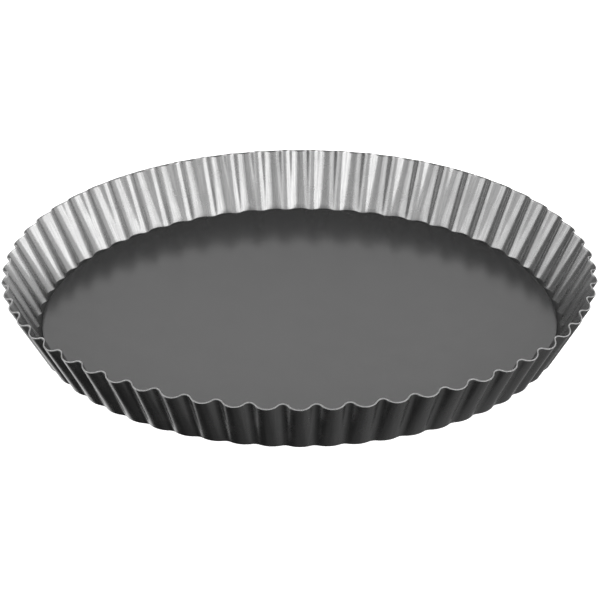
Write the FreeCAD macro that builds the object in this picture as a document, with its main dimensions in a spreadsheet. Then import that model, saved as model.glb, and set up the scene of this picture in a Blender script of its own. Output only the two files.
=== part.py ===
import FreeCAD, Part
import math
import os

import Sketcher

# Tart pan with a loose base: a fluted sheet-metal ring with an inward ledge
# at its foot, and a flat round disc that rests on the ledge and lifts out.
# Millimetres, +Z up, origin on the ground at the centre of the pan.
# The middle of one flute's lobe points along -Y, and one along +X.

doc = FreeCAD.newDocument("tart_pan")

# ------------------------------------------------------------ driving sizes

DRIVING_SIZES = [
    ("rim_dia", 280.0, "across the lobes of the rim, outside"),
    ("pan_height", 28.5, "underside to the highest tips of the rim"),
    ("wall_flare", 28.0, "lean of the wall from upright, degrees"),
    ("flute_count", 60, "flutes round the wall"),
    ("rim_flute_depth", 3.6, "cusp to lobe in a level cut at the rim"),
    ("foot_flute_depth", 1.4, "cusp to lobe in a level cut at the ground"),
    ("rim_cusp_radius", 2.8, "hollow of a cusp at the rim, outer face"),
    ("foot_cusp_radius", 4.2, "hollow of a cusp at the ground, outer face"),
    ("sheet_gauge", 0.6, "thickness of the ring's sheet"),
    ("foot_bend_radius", 1.0, "inside radius of the bend from ledge to wall"),
    ("ledge_lap", 6.0, "how far the ledge reaches under the disc"),
    ("disc_gauge", 0.8, "thickness of the loose disc"),
    ("disc_edge_radius", 0.25, "rounding of the disc's sheared edge"),
    ("disc_gap", 0.35, "clearance from the disc's edge to the bend"),
    ("trim_stock", 2.0, "wall left standing above the rim before trimming"),
]

sizes = doc.addObject("Spreadsheet::Sheet", "Sizes")
for row, (alias, value, meaning) in enumerate(DRIVING_SIZES, start=1):
    sizes.set(f"A{row}", str(value))
    sizes.set(f"B{row}", meaning)
    sizes.setAlias(f"A{row}", alias)
doc.recompute()

# ----------------------------------------------- sizes that follow from them
# Expressions for the sketches and features. A level cut is one at constant Z.

SLOPE = "tan(Sizes.wall_flare)"
LEVEL_GAUGE = "(Sizes.sheet_gauge / cos(Sizes.wall_flare))"
HALF_FLUTE_ANGLE = "(180 / Sizes.flute_count)"

# The rim is cut square to the wall, so the cut edge rises from the lobes to
# the cusps. Its mean line is the circle of RIM_MEAN at the height RIM_LEVEL.
RIM_MEAN = "(Sizes.rim_dia / 2 - Sizes.rim_flute_depth / 2 * cos(Sizes.wall_flare)^2)"
RIM_LEVEL = (f"(Sizes.pan_height - (Sizes.rim_flute_depth / 2 + {LEVEL_GAUGE})"
             " * sin(Sizes.wall_flare) * cos(Sizes.wall_flare))")
STOCK_LEVEL = "(Sizes.pan_height + Sizes.trim_stock)"


def share(level, at_foot, at_rim):
    """A size that grows evenly from the ground to the rim, at one level."""
    return f"({at_foot} + ({at_rim} - {at_foot}) * {level} / {RIM_LEVEL})"


def mean_radius(level):
    """Mean radius of the wall's outer face in a level cut."""
    return f"({RIM_MEAN} - ({RIM_LEVEL} - {level}) * {SLOPE})"


def half_depth(level):
    return f"({share(level, 'Sizes.foot_flute_depth', 'Sizes.rim_flute_depth')} / 2)"


def cusp_hollow(level):
    return share(level, "Sizes.foot_cusp_radius", "Sizes.rim_cusp_radius")


LEDGE_TOP = "Sizes.sheet_gauge"
BEND_RUN = "(Sizes.foot_bend_radius * tan((90 - Sizes.wall_flare) / 2))"
DISC_RADIUS = (f"({mean_radius(LEDGE_TOP)} - {half_depth(LEDGE_TOP)} - {LEVEL_GAUGE}"
               f" - {BEND_RUN} - Sizes.disc_gap)")
HOLE_RADIUS = f"({DISC_RADIUS} - Sizes.ledge_lap)"

# The cavity's cutter starts this much nearer the axis than the ledge's hole.
CUTTER_HUB = f"({HOLE_RADIUS} / 2)"
TRIM_REACH = "(3 * Sizes.rim_flute_depth + Sizes.trim_stock)"


def value_of(expression):
    return float(sizes.evalExpression(expression))


# ------------------------------------------------------------------ helpers

def new_body(label):
    body = doc.addObject("PartDesign::Body", label)
    body.Label = label
    return body


def origin_feature(body, role):
    return next(item for item in body.Origin.OriginFeatures if item.Role == role)


def new_sketch(body, name, plane, level=None):
    sketch = body.newObject("Sketcher::SketchObject", name)
    sketch.AttachmentSupport = [(origin_feature(body, plane), "")]
    sketch.MapMode = "FlatFace"
    if level is not None:
        sketch.setExpression("AttachmentOffset.Base.z", level)
    return sketch


def bind(sketch, kind, places, expression):
    """Add a dimension that follows the sheet."""
    value = value_of(expression)
    if kind == "Angle":
        value = math.radians(value)
    index = sketch.addConstraint(Sketcher.Constraint(kind, *places, value))
    sketch.setExpression(f"Constraints[{index}]", expression)


def tie(sketch, kind, *places):
    sketch.addConstraint(Sketcher.Constraint(kind, *places))


def polar(radius, angle):
    return FreeCAD.Vector(radius * math.cos(angle), radius * math.sin(angle), 0)


def arc(centre, radius, start, end):
    circle = Part.Circle(centre, FreeCAD.Vector(0, 0, 1), radius)
    return Part.ArcOfCircle(circle, start, end)


# ------------------------------------------------- the ring: one flute's cut

START, END, CENTRE = 1, 2, 3
AXIS_X = -1
ORIGIN = (-1, 1)
FULL_TURN = 360
TOLERANCE = 1e-6
FLUTE_TOLERANCE = 0.1


def flute_section(body, name, level, inset, hub):
    """Level cut of one flute, from the hub's arc out to the wall's face.

    The lobe is an arc centred on the X axis. On each side it runs smoothly
    into half of a cusp, an arc centred on the plane between two flutes.
    """
    sketch = new_sketch(body, name, "XY_Plane", level)
    lobe_tip = f"({mean_radius(level)} + {half_depth(level)} - {inset})"
    cusp_tip = f"({mean_radius(level)} - {half_depth(level)} - {inset})"
    hollow = f"({cusp_hollow(level)} + {inset})"

    half = math.radians(value_of(HALF_FLUTE_ANGLE))
    hub_r = value_of(hub)
    tip_r = value_of(lobe_tip)
    cusp_r = value_of(cusp_tip)
    hollow_r = value_of(hollow)

    # Lobe and cusp touch where their centres lie both radii apart.
    reach = cusp_r + hollow_r
    lobe_r = ((tip_r ** 2 + reach ** 2 - 2 * tip_r * reach * math.cos(half) - hollow_r ** 2)
              / (2 * (tip_r + hollow_r - reach * math.cos(half))))
    lobe_centre = FreeCAD.Vector(tip_r - lobe_r, 0, 0)
    cusp_centre = polar(reach, half)
    toward = cusp_centre - lobe_centre
    swing = math.atan2(toward.y, toward.x)

    hub_arc = sketch.addGeometry(arc(FreeCAD.Vector(), hub_r, -half, half))
    right = sketch.addGeometry(Part.LineSegment(polar(hub_r, -half), polar(cusp_r, -half)))
    left = sketch.addGeometry(Part.LineSegment(polar(hub_r, half), polar(cusp_r, half)))
    lobe = sketch.addGeometry(arc(lobe_centre, lobe_r, -swing, swing))
    right_cusp = sketch.addGeometry(
        arc(polar(reach, -half), hollow_r, math.pi - swing, math.pi - half))
    left_cusp = sketch.addGeometry(
        arc(cusp_centre, hollow_r, math.pi + half, math.pi + swing))
    crown = sketch.addGeometry(Part.Point(FreeCAD.Vector(tip_r, 0, 0)))

    tie(sketch, "Coincident", hub_arc, CENTRE, *ORIGIN)
    tie(sketch, "Coincident", hub_arc, START, right, START)
    tie(sketch, "Coincident", hub_arc, END, left, START)
    tie(sketch, "PointOnObject", *ORIGIN, right)
    tie(sketch, "PointOnObject", *ORIGIN, left)
    tie(sketch, "Coincident", right, END, right_cusp, END)
    tie(sketch, "Coincident", left, END, left_cusp, START)
    tie(sketch, "PointOnObject", right_cusp, CENTRE, right)
    tie(sketch, "PointOnObject", left_cusp, CENTRE, left)
    tie(sketch, "Tangent", right_cusp, START, lobe, START)
    tie(sketch, "Tangent", lobe, END, left_cusp, END)
    tie(sketch, "PointOnObject", lobe, CENTRE, AXIS_X)
    tie(sketch, "PointOnObject", crown, START, AXIS_X)
    tie(sketch, "PointOnObject", crown, START, lobe)
    tie(sketch, "Equal", right_cusp, left_cusp)
    tie(sketch, "Equal", right, left)
    bind(sketch, "Radius", (hub_arc,), hub)
    bind(sketch, "Radius", (left_cusp,), hollow)
    bind(sketch, "Angle", (AXIS_X, START, left, START), HALF_FLUTE_ANGLE)
    bind(sketch, "Distance", (*ORIGIN, left, END), cusp_tip)
    bind(sketch, "DistanceX", (*ORIGIN, crown, START), lobe_tip)
    return sketch


def loft(body, kind, name, foot, top):
    feature = body.newObject(kind, name)
    feature.Profile = foot
    feature.Sections = [top]
    feature.Ruled = True
    return feature


def level_edges(shape, level, inner_radius):
    """Names of the curved edges that lie at one level outside a radius."""
    names = []
    for number, edge in enumerate(shape.Edges, start=1):
        points = [vertex.Point for vertex in edge.Vertexes]
        flat = all(abs(point.z - level) < TOLERANCE for point in points)
        clear = all(math.hypot(point.x, point.y) > inner_radius for point in points)
        if flat and clear and not isinstance(edge.Curve, Part.Line):
            names.append(f"Edge{number}")
    return names


def fillet(body, name, base, level, radius):
    """Round the edges where the ledge turns up into the wall."""
    feature = body.newObject("PartDesign::Fillet", name)
    feature.Base = (base, level_edges(base.Shape, value_of(level), value_of(DISC_RADIUS)))
    feature.setExpression("Radius", radius)
    return feature


def trim_section(body, name):
    """What the trimming takes: all that lies above a line square to the wall."""
    sketch = new_sketch(body, name, "XZ_Plane")
    near = f"({RIM_MEAN} - {TRIM_REACH})"
    far = f"({RIM_MEAN} + {TRIM_REACH})"
    near_level = f"({RIM_LEVEL} + {TRIM_REACH} * {SLOPE})"
    far_level = f"({RIM_LEVEL} - {TRIM_REACH} * {SLOPE})"
    top_level = f"({near_level} + {TRIM_REACH})"
    corners = [(near, near_level), (far, far_level), (far, top_level), (near, top_level)]
    points = [FreeCAD.Vector(value_of(across), value_of(up), 0) for across, up in corners]

    sides = [sketch.addGeometry(Part.LineSegment(point, points[(index + 1) % len(points)]))
             for index, point in enumerate(points)]
    for index, side in enumerate(sides):
        tie(sketch, "Coincident", side, END, sides[(index + 1) % len(sides)], START)
        across, up = corners[index]
        bind(sketch, "DistanceX", (*ORIGIN, side, START), across)
        bind(sketch, "DistanceY", (*ORIGIN, side, START), up)
    return sketch


ring = new_body("fluted_ring")

outer_foot = flute_section(ring, "OuterFoot", "0", "0", HOLE_RADIUS)
outer_top = flute_section(ring, "OuterTop", STOCK_LEVEL, "0", HOLE_RADIUS)
blank = loft(ring, "PartDesign::AdditiveLoft", "FluteBlank", outer_foot, outer_top)

inner_foot = flute_section(ring, "InnerFoot", LEDGE_TOP, LEVEL_GAUGE, CUTTER_HUB)
inner_top = flute_section(ring, "InnerTop", STOCK_LEVEL, LEVEL_GAUGE, CUTTER_HUB)
cavity = loft(ring, "PartDesign::SubtractiveLoft", "Cavity", inner_foot, inner_top)
doc.recompute()

outer_bend = fillet(ring, "OuterBend", cavity, "0",
                    "Sizes.foot_bend_radius + Sizes.sheet_gauge")
doc.recompute()
inner_bend = fillet(ring, "InnerBend", outer_bend, LEDGE_TOP, "Sizes.foot_bend_radius")
doc.recompute()

trim = ring.newObject("PartDesign::Groove", "RimTrim")
trim.Profile = trim_section(ring, "TrimSection")
trim.ReferenceAxis = (origin_feature(ring, "Z_Axis"), [""])
trim.Angle = FULL_TURN
doc.recompute()

flutes = ring.newObject("PartDesign::PolarPattern", "Flutes")
flutes.TransformMode = "Whole shape"
flutes.Axis = (origin_feature(ring, "Z_Axis"), [""])
flutes.Angle = FULL_TURN
flutes.setExpression("Occurrences", "Sizes.flute_count")
ring.Tip = flutes
doc.recompute()

# ------------------------------------------------------------ the loose disc

disc = new_body("base_disc")
disc_outline = new_sketch(disc, "DiscOutline", "XY_Plane", LEDGE_TOP)
edge_circle = disc_outline.addGeometry(
    Part.Circle(FreeCAD.Vector(), FreeCAD.Vector(0, 0, 1), value_of(DISC_RADIUS)))
tie(disc_outline, "Coincident", edge_circle, CENTRE, *ORIGIN)
bind(disc_outline, "Radius", (edge_circle,), DISC_RADIUS)

blank_disc = disc.newObject("PartDesign::Pad", "BlankDisc")
blank_disc.Profile = disc_outline
blank_disc.setExpression("Length", "Sizes.disc_gauge")
doc.recompute()

softened = disc.newObject("PartDesign::Fillet", "SoftenedEdge")
softened.Base = (blank_disc, [f"Edge{number}" for number, edge in
                              enumerate(blank_disc.Shape.Edges, start=1)
                              if isinstance(edge.Curve, Part.Circle)])
softened.setExpression("Radius", "Sizes.disc_edge_radius")
doc.recompute()

# ------------------------------------------------------------ checks, export

for item in doc.Objects:
    if "Invalid" in item.State or "Error" in item.State:
        raise RuntimeError(f"{item.Label} failed: {item.State}")

cuts = [(blank, cavity), (cavity, outer_bend), (inner_bend, trim)]
for before, after in cuts:
    if after.Shape.Volume >= before.Shape.Volume:
        raise RuntimeError(f"{after.Label} took nothing off {before.Label}")

flutes_made = ring.Shape.Volume / trim.Shape.Volume
if abs(flutes_made - value_of("Sizes.flute_count")) > FLUTE_TOLERANCE:
    raise RuntimeError(f"the ring has {flutes_made:.2f} flutes' worth of sheet")

os.makedirs("parts", exist_ok=True)
for body in (ring, disc):
    shape = body.Shape
    if shape.isNull() or not shape.isValid() or len(shape.Solids) != 1:
        raise RuntimeError(f"{body.Label} isn't one valid solid")
    shape.exportStep(f"parts/{body.Label}.step")
    box = shape.optimalBoundingBox(False)
    print(f"{body.Label}: {box.XLength:.2f} x {box.YLength:.2f} x {box.ZLength:.2f} mm,"
          f" {shape.Volume:.0f} mm3, {len(shape.Faces)} faces")
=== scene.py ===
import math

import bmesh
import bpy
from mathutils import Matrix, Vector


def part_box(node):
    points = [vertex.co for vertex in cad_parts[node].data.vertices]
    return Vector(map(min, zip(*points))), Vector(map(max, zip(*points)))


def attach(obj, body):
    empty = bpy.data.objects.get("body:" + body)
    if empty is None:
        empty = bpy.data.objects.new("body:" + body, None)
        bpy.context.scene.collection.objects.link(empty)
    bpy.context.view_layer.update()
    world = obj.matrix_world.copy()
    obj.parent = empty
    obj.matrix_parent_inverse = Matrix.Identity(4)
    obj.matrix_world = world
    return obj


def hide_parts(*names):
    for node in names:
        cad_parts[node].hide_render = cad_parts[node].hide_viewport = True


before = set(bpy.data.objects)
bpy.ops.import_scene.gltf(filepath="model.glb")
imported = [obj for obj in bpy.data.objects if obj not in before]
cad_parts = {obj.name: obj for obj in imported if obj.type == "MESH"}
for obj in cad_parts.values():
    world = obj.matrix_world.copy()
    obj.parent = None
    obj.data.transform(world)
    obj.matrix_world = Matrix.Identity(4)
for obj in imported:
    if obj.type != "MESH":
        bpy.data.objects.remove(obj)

# %% [markdown]
# # A loose-base tart pan
#
# A tart pan is two pressings. The ring is the fluted wall, and at its foot the
# same sheet turns inwards to a narrow ledge. The base is a plain round disc
# that lies on the ledge, so a finished tart can be pushed up out of the ring.
# Both are steel sheet with a dark non-stick coating.
#
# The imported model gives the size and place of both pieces. This lesson makes
# finer meshes for them, gives them their finish, and sets them in a studio.

MM = 0.001
FULL_TURN = 2 * math.pi
AXIS = Vector((0, 0, 1))
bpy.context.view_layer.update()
ring_low, ring_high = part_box("fluted_ring")
disc_low, disc_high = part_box("base_disc")

# %% [markdown]
# ## The pan's drawing
#
# The overall width and height and the whole of the disc are read from the
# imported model. What the box of a piece can't say, such as how deep the flutes
# are and how far the wall leans, is named here.
#
# The press makes the flutes deeper and their cusps tighter towards the rim.

# %% Sizes
RIM_RADIUS = (ring_high.x - ring_low.x) / 2
PAN_HEIGHT = ring_high.z - ring_low.z
DISC_RADIUS = (disc_high.x - disc_low.x) / 2
DISC_UNDERSIDE = disc_low.z
DISC_TOP = disc_high.z

FLUTES = 60
WALL_FLARE = math.radians(28.0)
RIM_FLUTE_DEPTH = 3.6 * MM
FOOT_FLUTE_DEPTH = 1.4 * MM
RIM_CUSP_RADIUS = 2.8 * MM
FOOT_CUSP_RADIUS = 4.2 * MM
SHEET = 0.6 * MM
FOOT_BEND_RADIUS = 1.0 * MM + SHEET
LEDGE_LAP = 6.0 * MM
print("rim radius", round(RIM_RADIUS / MM, 2), "disc radius", round(DISC_RADIUS / MM, 2), "mm")

# %% [markdown]
# ## The line of a flute
#
# Cut level, a flute is an arc that bulges outwards, the lobe, with half of a
# small arc on each side that curves the other way, the cusp. The arcs run
# smoothly into each other, so the lobe's radius follows from the rest.
#
# `wall_reach` gives the distance from the pan's axis to the outer face of the
# wall, in one direction and at one level. The rim is cut square to the sheet,
# so it stands higher at the cusps than at the lobes. `rim_level_at` finds
# where the wall meets that cut by coming closer step by step.

# %% Where the wall's outer face is
SLOPE = math.tan(WALL_FLARE)
HALF_FLUTE = math.pi / FLUTES
LEVEL_SHEET = SHEET / math.cos(WALL_FLARE)
RIM_MEAN = RIM_RADIUS - RIM_FLUTE_DEPTH / 2 * math.cos(WALL_FLARE) ** 2
RIM_LEVEL = PAN_HEIGHT - ((RIM_FLUTE_DEPTH / 2 + LEVEL_SHEET)
                          * math.sin(WALL_FLARE) * math.cos(WALL_FLARE))
CUT_STEPS = 12


def grow(level, at_foot, at_rim):
    """A size that changes evenly from the ground to the rim."""
    return at_foot + (at_rim - at_foot) * level / RIM_LEVEL


def from_lobe(turn):
    """Angle from the middle of the nearest lobe, never more than half a flute."""
    return abs((turn + HALF_FLUTE) % (2 * HALF_FLUTE) - HALF_FLUTE)


def wall_reach(turn, level):
    mean = RIM_MEAN - (RIM_LEVEL - level) * SLOPE
    half_depth = grow(level, FOOT_FLUTE_DEPTH, RIM_FLUTE_DEPTH) / 2
    hollow = grow(level, FOOT_CUSP_RADIUS, RIM_CUSP_RADIUS)
    tip = mean + half_depth
    cusp_centre = mean - half_depth + hollow
    lobe = ((tip ** 2 + cusp_centre ** 2 - 2 * tip * cusp_centre * math.cos(HALF_FLUTE)
             - hollow ** 2)
            / (2 * (tip + hollow - cusp_centre * math.cos(HALF_FLUTE))))
    lobe_centre = tip - lobe
    off = from_lobe(turn)

    # The arcs touch on the line between their centres.
    share = lobe / (lobe + hollow)
    touch_x = lobe_centre + (cusp_centre * math.cos(HALF_FLUTE) - lobe_centre) * share
    touch_y = cusp_centre * math.sin(HALF_FLUTE) * share
    if off < math.atan2(touch_y, touch_x):
        across = lobe_centre * math.sin(off)
        return lobe_centre * math.cos(off) + math.sqrt(lobe ** 2 - across ** 2)
    off = HALF_FLUTE - off
    across = cusp_centre * math.sin(off)
    return cusp_centre * math.cos(off) - math.sqrt(max(hollow ** 2 - across ** 2, 0))


def rim_level_at(turn):
    level = RIM_LEVEL
    for _ in range(CUT_STEPS):
        level = RIM_LEVEL - (wall_reach(turn, level) - RIM_MEAN) * SLOPE
    return level


print("rim at a lobe", round(rim_level_at(0) / MM, 2),
      "and at a cusp", round(rim_level_at(HALF_FLUTE) / MM, 2), "mm up")

# %% [markdown]
# ## The ring
#
# A real ring starts as a plain cup, and the press then forces the flutes into
# it. The mesh is made in the same order. A few points draw half of the cup's
# section: the edge of the hole, the corner at the foot and the wall. `spin`
# turns them round the axis into a plain cup with a whole number of columns to
# a flute. Then every point moves out or in to the line of the flutes.
#
# After that come the steps that a sheet-metal worker would name: the foot's
# corner is bent (`bevel`), the skin gets the thickness of the sheet
# (`solidify`), and the sheared edges are broken (a second, tiny `bevel`).
# Thickening after pressing keeps the sheet even all over and the rim square.
#
# The extra rows close to the foot and to the rim hold the smooth shading in
# place, so the flat parts look flat right up to the bends.

# %% Turning the plain cup
COLUMNS_PER_FLUTE = 28
COLUMNS = FLUTES * COLUMNS_PER_FLUTE
HOLE_RADIUS = DISC_RADIUS - LEDGE_LAP
LEDGE_ROWS = (0.04, 0.5)
WALL_ROWS = (0.1, 0.4, 0.7, 0.97, 1.0)

FOOT_RADIUS = RIM_MEAN - RIM_LEVEL * SLOPE


def plain_cup():
    """The cup before it is fluted, with each point's row kept as a number."""
    bm = bmesh.new()
    row_layer = bm.verts.layers.float.new("row")
    rows = [-1.0] + [share - 1 for share in LEDGE_ROWS] + [0.0] + list(WALL_ROWS)
    line = []
    for row in rows:
        if row <= 0:
            reach, level = FOOT_RADIUS + row * (FOOT_RADIUS - HOLE_RADIUS), 0
        else:
            reach, level = FOOT_RADIUS + row * RIM_LEVEL * SLOPE, row * RIM_LEVEL
        point = bm.verts.new((reach, 0, level))
        point[row_layer] = row
        line.append(point)
    edges = [bm.edges.new(pair) for pair in zip(line, line[1:])]
    bmesh.ops.spin(bm, geom=line + edges, cent=(0, 0, 0), axis=AXIS,
                   angle=FULL_TURN, steps=COLUMNS, use_merge=True)
    return bm, row_layer


def press_flutes(bm, row_layer):
    """Moves every point of the cup to the fluted wall or the ledge."""
    columns = {}
    for point in bm.verts:
        row = point[row_layer]
        turn = math.atan2(point.co.y, point.co.x)
        key = round(turn * COLUMNS / FULL_TURN)
        if key not in columns:
            top = rim_level_at(turn)
            columns[key] = wall_reach(turn, 0), wall_reach(turn, top), top
        foot, rim, top = columns[key]
        if row <= 0:
            reach, level = foot + row * (foot - HOLE_RADIUS), 0
        else:
            reach, level = foot + row * (rim - foot), row * top
        point.co = (reach * math.cos(turn), reach * math.sin(turn), level)


cup, cup_rows = plain_cup()
press_flutes(cup, cup_rows)
print("fluted skin", len(cup.verts), "points,", len(cup.faces), "faces")

# %% [markdown]
# The sheared faces at the rim and round the hole are bare steel, and the ledge
# has a duller coating than the wall that reflects less, which is painted shade for
# the crevice under the base. Every face keeps the number of its finish, and the
# finishes are made in the same order further down.

# %% Bending the foot, giving the sheet its thickness, breaking the edges
FOOT_BEND_STEPS = 6
SHEAR_BREAK = 0.13 * MM
SHEAR_STEPS = 2
# The ledge's finish is painted shade for the corner under the base.
WALL_FINISH, CUT_FINISH, LEDGE_SHADE_FINISH = range(3)
CUT_FACING = 0.8
FLAT_ENOUGH = 0.7
LEDGE_TOP_LIMIT = 2 * MM
SAME_ROW = 1e-4


def rings_at(bm, row_layer, row):
    """The edges that run round the pan along one row."""
    return [edge for edge in bm.edges
            if all(abs(point[row_layer] - row) < SAME_ROW for point in edge.verts)]


def point_outwards(bm):
    """Turns the skin's faces so that the ledge's look down, as the outside does."""
    bmesh.ops.recalc_face_normals(bm, faces=bm.faces)
    lowest = min(bm.faces, key=lambda face: face.calc_center_median().z)
    if lowest.normal.z > 0:
        bmesh.ops.reverse_faces(bm, faces=bm.faces)


def bend_foot(bm, row_layer):
    run = FOOT_BEND_RADIUS * math.tan((math.pi / 2 - WALL_FLARE) / 2)
    bmesh.ops.bevel(bm, geom=rings_at(bm, row_layer, 0.0), offset=run,
                    offset_type="OFFSET", segments=FOOT_BEND_STEPS, profile=0.5,
                    affect="EDGES", material=-1, clamp_overlap=False)


def thicken(bm):
    """Adds the inside face one sheet in from the skin, and the cut edges."""
    bmesh.ops.solidify(bm, geom=bm.faces[:], thickness=SHEET)
    bm.normal_update()


def is_cut(face):
    """True for the sheared faces at the rim and round the ledge's hole."""
    middle = face.calc_center_median()
    out = Vector((middle.x, middle.y, 0)).normalized()
    if middle.z > RIM_LEVEL / 2:
        along = out * math.sin(WALL_FLARE) + AXIS * math.cos(WALL_FLARE)
        return face.normal.dot(along) > CUT_FACING
    return face.normal.dot(-out) > CUT_FACING and middle.xy.length < HOLE_RADIUS + SHEET


def break_edges(bm):
    """Rounds the sheared corners, and marks the bare steel between them."""
    cut = {face for face in bm.faces if is_cut(face)}
    for face in cut:
        face.material_index = CUT_FINISH
    corners = [edge for edge in bm.edges
               if sum(face in cut for face in edge.link_faces) == 1]
    bmesh.ops.bevel(bm, geom=corners, offset=SHEAR_BREAK, offset_type="OFFSET",
                    segments=SHEAR_STEPS, profile=0.5, affect="EDGES", material=-1,
                    clamp_overlap=False)


def mark_ledge(bm):
    """Gives the flat ledge, which the press doesn't stretch, a finish of its own that reflects
    less: painted shade for the crevice under the base.
    """
    for face in bm.faces:
        flat = abs(face.normal.z) > FLAT_ENOUGH
        low = face.calc_center_median().z < LEDGE_TOP_LIMIT
        # The ledge faces get the finish that paints shade into the crevice under the base.
        if face.material_index == WALL_FINISH and flat and low:
            face.material_index = LEDGE_SHADE_FINISH


point_outwards(cup)
bend_foot(cup, cup_rows)
thicken(cup)
break_edges(cup)
mark_ledge(cup)
print("sheet-metal ring", len(cup.faces), "faces,",
      sum(not edge.is_manifold for edge in cup.edges), "open edges")


# %% [markdown]
# A finished bmesh becomes an object at the origin, with smooth shading, and
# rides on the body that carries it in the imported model.

# %% From bmesh to object
def to_object(bm, name, body, node):
    mesh = bpy.data.meshes.new(name)
    for face in bm.faces:
        face.smooth = True
    bm.to_mesh(mesh)
    bm.free()
    piece = bpy.data.objects.new(name, mesh)
    bpy.context.scene.collection.objects.link(piece)
    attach(piece, body)
    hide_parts(node)
    print(name, len(mesh.polygons), "faces")
    return piece


ring = to_object(cup, "fluted_ring_sheet", "ring", "fluted_ring")

# %% [markdown]
# ## The loose base
#
# The base is stamped from flat sheet. Half of its section is four points: the
# middle of the underside, the edge, and the middle of the top. `spin` closes
# it into a disc, the points that meet on the axis are merged, and the sheared
# edge is broken like the ring's. Rows near the edge keep the flat part flat.

# %% Stamping the disc
DISC_COLUMNS = 360
DISC_BREAK = 0.25 * MM
DISC_BREAK_STEPS = 3
DISC_ROWS = (0.0, 0.35, 0.7, 0.99)
SAME_POINT = 0.001 * MM
SAME_RING = 0.01 * MM


def stamped_disc():
    bm = bmesh.new()
    reaches = [share * DISC_RADIUS for share in DISC_ROWS] + [DISC_RADIUS]
    section = [(reach, DISC_UNDERSIDE) for reach in reaches]
    section += [(reach, DISC_TOP) for reach in reversed(reaches)]
    line = [bm.verts.new((reach, 0, level)) for reach, level in section]
    edges = [bm.edges.new(pair) for pair in zip(line, line[1:])]
    bmesh.ops.spin(bm, geom=line + edges, cent=(0, 0, 0), axis=AXIS,
                   angle=FULL_TURN, steps=DISC_COLUMNS, use_merge=True)
    bmesh.ops.remove_doubles(bm, verts=bm.verts, dist=SAME_POINT)
    bmesh.ops.recalc_face_normals(bm, faces=bm.faces)
    corners = [edge for edge in bm.edges
               if all(point.co.xy.length > DISC_RADIUS - SAME_RING for point in edge.verts)
               and abs(edge.verts[0].co.z - edge.verts[1].co.z) < SAME_RING]
    bmesh.ops.bevel(bm, geom=corners, offset=DISC_BREAK, offset_type="OFFSET",
                    segments=DISC_BREAK_STEPS, profile=0.5, affect="EDGES", material=-1)
    return bm


disc = to_object(stamped_disc(), "loose_base_sheet", "base", "base_disc")

# %% [markdown]
# ## The finishes
#
# Both pieces have a dark non-stick coating, but they don't look the same. The
# ring is coated before the flutes are pressed. The press stretches the coating
# and lays its metal flakes flat, so the wall has a gunmetal sheen and mirrors
# the lamps in streaks. The base stays flat and keeps the plain dark satin of
# the coating. The ledge under the base gets a rougher coating that reflects
# less, which is painted shade for the crevice between base and ring. So there
# are three coatings: a dark metal for the wall, a dark plastic with a soft gloss
# for the base, and a dull one that paints shade on the ledge. The sheared edges
# are bare steel. All patterns read Object coordinates, in metres, so a grain is
# as large on one piece as on the other.

# %% Shader helpers
def new_material(name):
    material = bpy.data.materials.new(name)
    material.use_nodes = True
    tree = material.node_tree
    return material, tree, tree.nodes["Principled BSDF"]


def add_node(tree, kind, inputs=None, **settings):
    node = tree.nodes.new(kind)
    for name, value in settings.items():
        setattr(node, name, value)
    for name, value in (inputs or {}).items():
        node.inputs[name].default_value = value
    return node


def noise(tree, place, grain, detail=2.0):
    """Noise whose lumps are about `grain` metres across."""
    node = add_node(tree, "ShaderNodeTexNoise", {"Scale": 1 / grain, "Detail": detail})
    tree.links.new(place, node.inputs["Vector"])
    return node.outputs["Fac"]


def remap(tree, source, low, high, from_low=0.3, from_high=0.7):
    """Stretches a value to a new range. Noise seldom leaves the range 0.3 to 0.7."""
    node = add_node(tree, "ShaderNodeMapRange",
                    {"From Min": from_low, "From Max": from_high,
                     "To Min": low, "To Max": high})
    tree.links.new(source, node.inputs["Value"])
    return node.outputs["Result"]


def object_place(tree):
    return add_node(tree, "ShaderNodeTexCoord").outputs["Object"]


def vary(tree, place, socket, grain, low, high, detail=2.0):
    """Lets a shader's socket wander between two values."""
    tree.links.new(remap(tree, noise(tree, place, grain, detail), low, high), socket)


BUMP_STRENGTH = 0.5


def raise_surface(tree, shader, height, depth):
    """Turns a 0 to 1 pattern into hills of about `depth` metres."""
    bump = add_node(tree, "ShaderNodeBump", {"Strength": BUMP_STRENGTH, "Distance": depth})
    tree.links.new(height, bump.inputs["Height"])
    tree.links.new(bump.outputs["Normal"], shader.inputs["Normal"])


# %% [markdown]
# The press drags the coating along each flute, so the ring has fine lines that run
# from foot to rim. To draw them, the pattern reads only the direction around the
# pan and a little of the height. A plain noise would give round spots instead.
# Where the rim is gripped and the foot rubs on a shelf, the coating is thin and
# the steel shows through.

# %% Gunmetal coating of the ring
SHEEN_TONE = (0.33, 0.47)
FLAKE_SIZE = 0.35 * MM
FLAKE_DETAIL = 1
RING_ROUGHNESS = (0.22, 0.30)
LINE_CIRCLE = 130 * MM
LINE_WIDTH = 0.55 * MM
LINE_DEPTH = 0.005 * MM
LINE_DETAIL = 3
LINE_DRIFT = 0.04
LINE_SHARE = 0.6
RING_CLOUD = 9 * MM
WORN_TONE = 0.70
WORN_PATCH = 2.5 * MM
WORN_RIM = (27.2 * MM, 28.6 * MM)
WORN_FOOT = (0.5 * MM, 0.0)


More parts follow.
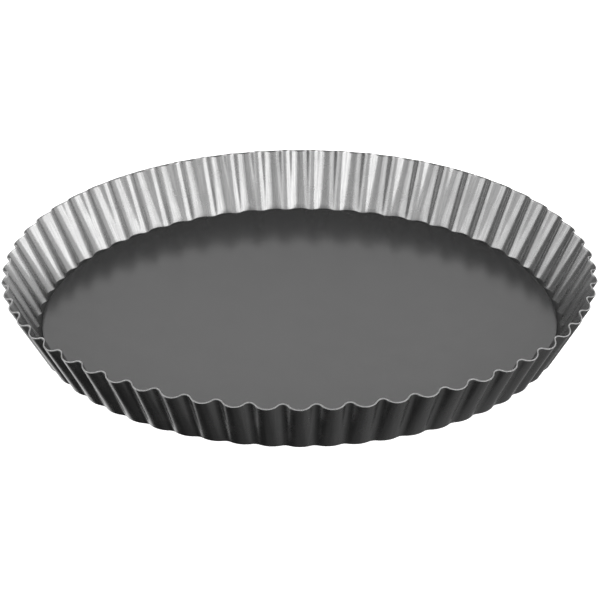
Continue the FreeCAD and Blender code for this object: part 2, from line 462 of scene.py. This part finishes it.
def along_flutes(tree, place):
    """Coordinates that change around the pan and hardly at all up the wall."""
    flat = add_node(tree, "ShaderNodeVectorMath", operation="MULTIPLY")
    flat.inputs[1].default_value = (1, 1, 0)
    around = add_node(tree, "ShaderNodeVectorMath", operation="NORMALIZE")
    drift = add_node(tree, "ShaderNodeVectorMath", operation="SCALE")
    drift.inputs["Scale"].default_value = LINE_DRIFT
    lines = add_node(tree, "ShaderNodeVectorMath", operation="MULTIPLY_ADD")
    lines.inputs[1].default_value = (LINE_CIRCLE,) * 3
    tree.links.new(place, flat.inputs[0])
    tree.links.new(flat.outputs["Vector"], around.inputs[0])
    tree.links.new(place, drift.inputs[0])
    tree.links.new(around.outputs["Vector"], lines.inputs[0])
    tree.links.new(drift.outputs["Vector"], lines.inputs[2])
    return lines.outputs["Vector"]


def worn_parts(tree, place):
    """0 on a whole coating, up to 1 at the rim and the foot, in patches."""
    split = add_node(tree, "ShaderNodeSeparateXYZ")
    tree.links.new(place, split.inputs["Vector"])
    either = add_node(tree, "ShaderNodeMath", operation="MAXIMUM")
    for socket, (start, end) in enumerate((WORN_RIM, WORN_FOOT)):
        closeness = remap(tree, split.outputs["Z"], 0, 1, start, end)
        tree.links.new(closeness, either.inputs[socket])
    patches = add_node(tree, "ShaderNodeMath", operation="MULTIPLY")
    tree.links.new(either.outputs["Value"], patches.inputs[0])
    vary(tree, place, patches.inputs[1], WORN_PATCH, 0, 1)
    return patches.outputs["Value"]


def gunmetal_coating(name):
    material, tree, shader = new_material(name)
    place = object_place(tree)
    lines = noise(tree, along_flutes(tree, place), LINE_WIDTH, LINE_DETAIL)
    flakes = noise(tree, place, FLAKE_SIZE, FLAKE_DETAIL)
    grain = add_node(tree, "ShaderNodeMix", {"Factor": LINE_SHARE}, data_type="FLOAT")
    tree.links.new(flakes, grain.inputs["A"])
    tree.links.new(lines, grain.inputs["B"])
    tone = add_node(tree, "ShaderNodeMix", {"B": WORN_TONE}, data_type="FLOAT")
    tree.links.new(worn_parts(tree, place), tone.inputs["Factor"])
    tree.links.new(remap(tree, grain.outputs["Result"], *SHEEN_TONE), tone.inputs["A"])
    tree.links.new(tone.outputs["Result"], shader.inputs["Base Color"])
    vary(tree, place, shader.inputs["Roughness"], RING_CLOUD, *RING_ROUGHNESS)
    shader.inputs["Metallic"].default_value = 1
    raise_surface(tree, shader, lines, LINE_DEPTH)
    return material


# %% [markdown]
# The base and the ledge have the same kind of shader: a dark plastic with a soft
# gloss. Sprayed and baked coatings have a faint orange peel, which is a low,
# round noise used as bump. The ledge is rougher and reflects less, which is
# painted shade for the crevice under the base.

# %% Dark satin of the base
SATIN_TONE = (0.034, 0.044)
SATIN_ROUGHNESS = (0.20, 0.22)
SATIN_CLOUD = 14 * MM
SATIN_IOR = 1.5
PEEL_SIZE = 1.3 * MM
PEEL_DEPTH = 0.002 * MM


def satin_coating(name):
    material, tree, shader = new_material(name)
    place = object_place(tree)
    vary(tree, place, shader.inputs["Base Color"], FLAKE_SIZE, *SATIN_TONE, FLAKE_DETAIL)
    vary(tree, place, shader.inputs["Roughness"], SATIN_CLOUD, *SATIN_ROUGHNESS)
    shader.inputs["IOR"].default_value = SATIN_IOR
    raise_surface(tree, shader, noise(tree, place, PEEL_SIZE), PEEL_DEPTH)
    return material


# %% Painted shade: a dull coating that reflects less, in the corner under the base
SHADE_TONE = (0.030, 0.045)
DULL_PATCH = 1.2 * MM
DULL_ROUGHNESS = (0.50, 0.65)
DULL_CLOUD = 4 * MM
SHADE_REFLECTION = 0.25


def painted_shade_coating(name):
    material, tree, shader = new_material(name)
    place = object_place(tree)
    vary(tree, place, shader.inputs["Base Color"], DULL_PATCH, *SHADE_TONE)
    vary(tree, place, shader.inputs["Roughness"], DULL_CLOUD, *DULL_ROUGHNESS)
    # Reflecting less than the base is painted shade for the crevice under the base.
    shader.inputs["Specular IOR Level"].default_value = SHADE_REFLECTION
    raise_surface(tree, shader, noise(tree, place, PEEL_SIZE), PEEL_DEPTH)
    return material


# %% Bare cut steel
STEEL_TONE = (0.65, 0.90)
STEEL_GRAIN = 0.6 * MM
STEEL_ROUGHNESS = (0.38, 0.50)
STEEL_CLOUD = 1.5 * MM


def cut_steel(name):
    material, tree, shader = new_material(name)
    place = object_place(tree)
    vary(tree, place, shader.inputs["Base Color"], STEEL_GRAIN, *STEEL_TONE)
    vary(tree, place, shader.inputs["Roughness"], STEEL_CLOUD, *STEEL_ROUGHNESS)
    shader.inputs["Metallic"].default_value = 1
    return material


ring_coating = gunmetal_coating("gunmetal_coating")
disc_coating = satin_coating("satin_coating")
bare_steel = cut_steel("bare_sheared_steel")
# The ledge's coating is painted shade for the corner under the base.
ledge_painted_shade = painted_shade_coating("painted_shade_coating")
ring_finishes = {WALL_FINISH: ring_coating, CUT_FINISH: bare_steel,
                 LEDGE_SHADE_FINISH: ledge_painted_shade}
for number in sorted(ring_finishes):
    ring.data.materials.append(ring_finishes[number])
disc.data.materials.append(disc_coating)
print("ring:", [finish.name for finish in ring.data.materials],
      "base:", [finish.name for finish in disc.data.materials])

# %% [markdown]
# ## The studio
#
# The floor is a plain pale sheet that bends up into a wall all round and glows a
# little, so nothing around the pan looks grey. Glossy surfaces don't see it: the
# outer wall leans out over the floor, and a mirrored white floor would hide how
# dark the coating is. The light is soft. Large panels on the camera's side make
# the bright streaks in the flutes, and a pale backdrop behind gives the base its
# even sheen. Past the panels, the room is a soft gradient, dark straight below and
# lighter near the horizon, which draws the flutes of the outer wall.

# %% Floor
COVE_FLOOR = 4.0
COVE_BEND = 1.0
COVE_HEIGHT = 3.0
COVE_TONE = 0.80
COVE_GLOW = 0.85
COVE_ROUGHNESS = 0.9
COVE_STEPS = 96
COVE_BEND_STEPS = 8


def grey(brightness):
    return brightness, brightness, brightness, 1


def studio_cove():
    """A round pale floor whose rim bends up into a pale wall, all one skin."""
    bm = bmesh.new()
    section = [(0, 0), (COVE_FLOOR, 0), (COVE_FLOOR, COVE_HEIGHT)]
    line = [bm.verts.new((reach, 0, level)) for reach, level in section]
    edges = [bm.edges.new(pair) for pair in zip(line, line[1:])]
    bmesh.ops.spin(bm, geom=line + edges, cent=(0, 0, 0), axis=AXIS,
                   angle=FULL_TURN, steps=COVE_STEPS, use_merge=True)
    bmesh.ops.remove_doubles(bm, verts=bm.verts, dist=0.1 * MM)
    corner = [edge for edge in bm.edges
              if all(abs(point.co.xy.length - COVE_FLOOR) < MM and point.co.z < MM
                     for point in edge.verts)]
    bmesh.ops.bevel(bm, geom=corner, offset=COVE_BEND, offset_type="OFFSET",
                    segments=COVE_BEND_STEPS, profile=0.5, affect="EDGES", material=-1)
    for face in bm.faces:
        face.smooth = True
    bmesh.ops.recalc_face_normals(bm, faces=bm.faces)
    middle = min(bm.faces, key=lambda face: face.calc_center_median().z)
    if middle.normal.z < 0:
        bmesh.ops.reverse_faces(bm, faces=bm.faces)
    mesh = bpy.data.meshes.new("floor")
    bm.to_mesh(mesh)
    bm.free()
    floor = bpy.data.objects.new("floor", mesh)
    bpy.context.scene.collection.objects.link(floor)
    material, tree, shader = new_material("lit_white_sheet")
    shader.inputs["Base Color"].default_value = grey(COVE_TONE)
    shader.inputs["Roughness"].default_value = COVE_ROUGHNESS
    shader.inputs["Emission Color"].default_value = grey(1)
    shader.inputs["Emission Strength"].default_value = COVE_GLOW
    mesh.materials.append(material)
    floor.visible_glossy = False
    return floor


print("floor", len(studio_cove().data.polygons), "faces")

# %% Lights
PAN_MIDDLE = Vector((0, 0, 12 * MM))


def direction(azimuth, elevation):
    """Unit vector from the pan. Azimuth 0 is the front, -Y, and 90 is +X."""
    turn, up = math.radians(azimuth), math.radians(elevation)
    return Vector((math.sin(turn) * math.cos(up), -math.cos(turn) * math.cos(up),
                   math.sin(up)))


def soft_panel(name, azimuth, elevation, distance, width, height, radiance):
    """A rectangular soft light that faces the pan. Radiance is its brightness."""
    lamp = bpy.data.lights.new(name, "AREA")
    lamp.shape = "RECTANGLE"
    lamp.size = width
    lamp.size_y = height
    lamp.energy = radiance * width * height * math.pi
    panel = bpy.data.objects.new(name, lamp)
    bpy.context.scene.collection.objects.link(panel)
    toward = direction(azimuth, elevation)
    panel.location = PAN_MIDDLE + toward * distance
    panel.rotation_euler = toward.to_track_quat("Z", "Y").to_euler()
    panel.visible_camera = False
    return panel


# Name, azimuth, elevation, distance, width, height, radiance.
PANELS = (
    ("key_panel", 52, 21, 2.4, 2.55, 1.42, 2.1),
    ("side_panel", 106, 17, 2.4, 1.94, 1.06, 0.74),
    ("fill_panel", -70, 26, 2.4, 2.14, 1.06, 1.36),
    ("front_panel", -10, 25, 2.4, 3.2, 1.1, 0.80),
    ("backdrop_panel", 180, 35, 3.0, 4.0, 1.28, 1.04),
)
for panel_settings in PANELS:
    print(soft_panel(*panel_settings).name)

# %% [markdown]
# The room is a world shader. Each side has a ramp from straight down to straight
# up, and the two ramps are blended across the pan. It could be one even grey, but
# then all the flutes of the outer wall would look alike.

# %% The room
LEFT_SHADES = ((-1.0, 0.07), (-0.95, 0.025), (-0.80, 0.03), (-0.68, 0.9), (-0.1, 0.9),
               (0.05, 0.19), (1.0, 0.30))
RIGHT_SHADES = ((-1.0, 0.09), (-0.92, 0.12), (-0.70, 0.15), (-0.55, 0.35), (-0.1, 0.4),
                (0.05, 0.19), (1.0, 0.30))
SIDE_BLEND = (0.02, 0.26)
MIX_COLOR_A, MIX_COLOR_B, MIX_COLOR_RESULT = 6, 7, 2


def shade_ramp(tree, height, shades):
    """Brightness by height, from straight down (-1) to straight up (1)."""
    ramp = add_node(tree, "ShaderNodeValToRGB")
    stops = ramp.color_ramp.elements
    stops.remove(stops[1])
    stops[0].position = 0
    stops[0].color = grey(shades[0][1])
    for level, shade in shades[1:]:
        stops.new((level + 1) / 2).color = grey(shade)
    tree.links.new(height, ramp.inputs["Fac"])
    return ramp.outputs["Color"]


def studio_room():
    """What the gloss sees past the panels, with more contrast on the left."""
    world = bpy.data.worlds.new("studio_room")
    world.use_nodes = True
    tree = world.node_tree
    place = add_node(tree, "ShaderNodeTexCoord")
    split = add_node(tree, "ShaderNodeSeparateXYZ")
    tree.links.new(place.outputs["Generated"], split.inputs["Vector"])
    height = remap(tree, split.outputs["Z"], 0, 1, -1, 1)
    room = add_node(tree, "ShaderNodeMix", data_type="RGBA")
    tree.links.new(remap(tree, split.outputs["X"], 0, 1, *SIDE_BLEND),
                   room.inputs["Factor"])
    tree.links.new(shade_ramp(tree, height, LEFT_SHADES), room.inputs[MIX_COLOR_A])
    tree.links.new(shade_ramp(tree, height, RIGHT_SHADES), room.inputs[MIX_COLOR_B])
    tree.links.new(room.outputs[MIX_COLOR_RESULT],
                   tree.nodes["Background"].inputs["Color"])
    return world


bpy.context.scene.world = studio_room()
bpy.context.scene.view_settings.view_transform = "Standard"
print("world", bpy.context.scene.world.name)

# %% [markdown]
# ## The camera
#
# A long lens from a little over a metre away, looking down into the pan. Azimuth
# and elevation place it as they place the lamps, and the aim is the point it
# looks at, a third of the way up the pan.

# %% Camera
CAMERA_AZIMUTH = 0.04
CAMERA_ELEVATION = 26.8
CAMERA_DISTANCE = 1.36
CAMERA_LENS = 171.7
CAMERA_SENSOR = 36
CAMERA_ROLL = math.radians(-0.2)
AIM = Vector((0.0002, 0, 0.0101))

camera_data = bpy.data.cameras.new("camera")
camera_data.lens = CAMERA_LENS
camera_data.sensor_width = CAMERA_SENSOR
camera = bpy.data.objects.new("camera", camera_data)
bpy.context.scene.collection.objects.link(camera)
toward = direction(CAMERA_AZIMUTH, CAMERA_ELEVATION)
camera.location = toward * CAMERA_DISTANCE
look = (camera.location - AIM).to_track_quat("Z", "Y").to_matrix()
camera.rotation_euler = (look @ Matrix.Rotation(CAMERA_ROLL, 3, "Z")).to_euler()
bpy.context.scene.camera = camera
print("camera", [round(value, 3) for value in camera.location])
